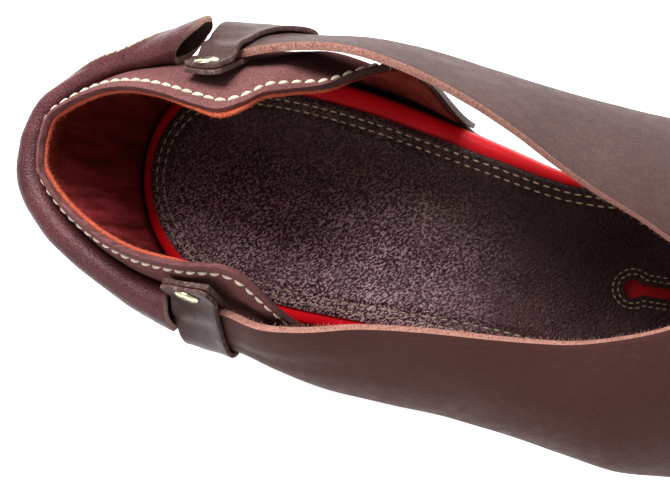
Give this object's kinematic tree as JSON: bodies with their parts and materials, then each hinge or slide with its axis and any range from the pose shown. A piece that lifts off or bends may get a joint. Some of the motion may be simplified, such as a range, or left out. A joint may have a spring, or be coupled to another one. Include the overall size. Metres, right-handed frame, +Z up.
{
  "type": "open-toe sandal",
  "caption": "Open-toe leather sandal for the right foot, with a stiff heel counter, a rolled heel collar and a wide V-shaped vamp whose wings end in riveted keepers.",
  "frame": {"origin": "centre of the heel's resting spot, on the floor", "axes": "+X from the heel to the toe, +Y to the inner side of the foot, +Z up"},
  "size_m": [0.2673, 0.1, 0.0976],
  "materials": {
    "outsole": "satin dark sole leather",
    "footbed": "glossy crimson covering",
    "sock": "glossy grained oxblood leather",
    "counter": "burgundy leather, satin outside and suede inside",
    "roll": "glossy fine-grained burgundy leather",
    "vamp": "matt grey-brown leather with raw cut edges",
    "keeper": "smooth grey-brown leather",
    "stud": "pale polished brass",
    "thread": "waxed cream thread",
    "lining": "dark red suede"
  },
  "bodies": {
    "root": {"outsole": "outsole", "footbed": "footbed", "insole": "sock", "counter": "counter", "heel_roll": "roll", "vamp": "vamp", "keeper_inner": "keeper", "keeper_outer": "keeper", "stud_inner": "stud", "stud_outer": "stud"}
  },
  "joints": []
}
